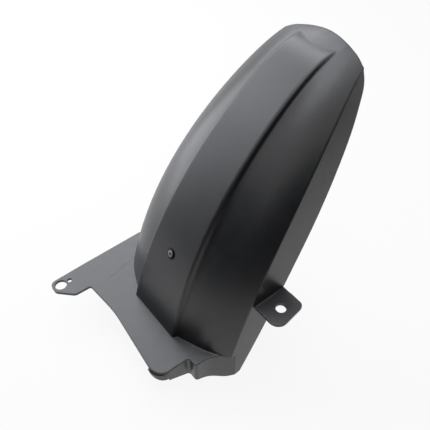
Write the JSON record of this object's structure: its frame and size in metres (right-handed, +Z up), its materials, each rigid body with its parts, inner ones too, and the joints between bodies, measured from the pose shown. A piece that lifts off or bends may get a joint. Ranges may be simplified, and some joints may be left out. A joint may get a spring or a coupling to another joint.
{
  "type": "rear mudguard extender",
  "caption": "Arched moulded plastic rear mudguard extension with a raised centre band, straight side flanges, a level base plate, a bolt ear, a bolt tab and a blind rivet.",
  "frame": {"origin": "centre of the ear's bolt hole on the top face of the base plate", "axes": "+X forward to the front of the ear, +Y to the left where the tab is, +Z up along the ear's bolt hole"},
  "size_m": [0.2405, 0.1978, 0.2519],
  "materials": {
    "moulded_plastic": "fine matte grain",
    "rivet_aluminium": "dull, darkened",
    "mandrel_steel": "dull, broken end"
  },
  "bodies": {
    "root": {"mudguard_shell": "moulded_plastic", "rivet_body": "rivet_aluminium", "rivet_mandrel": "mandrel_steel"}
  },
  "joints": []
}
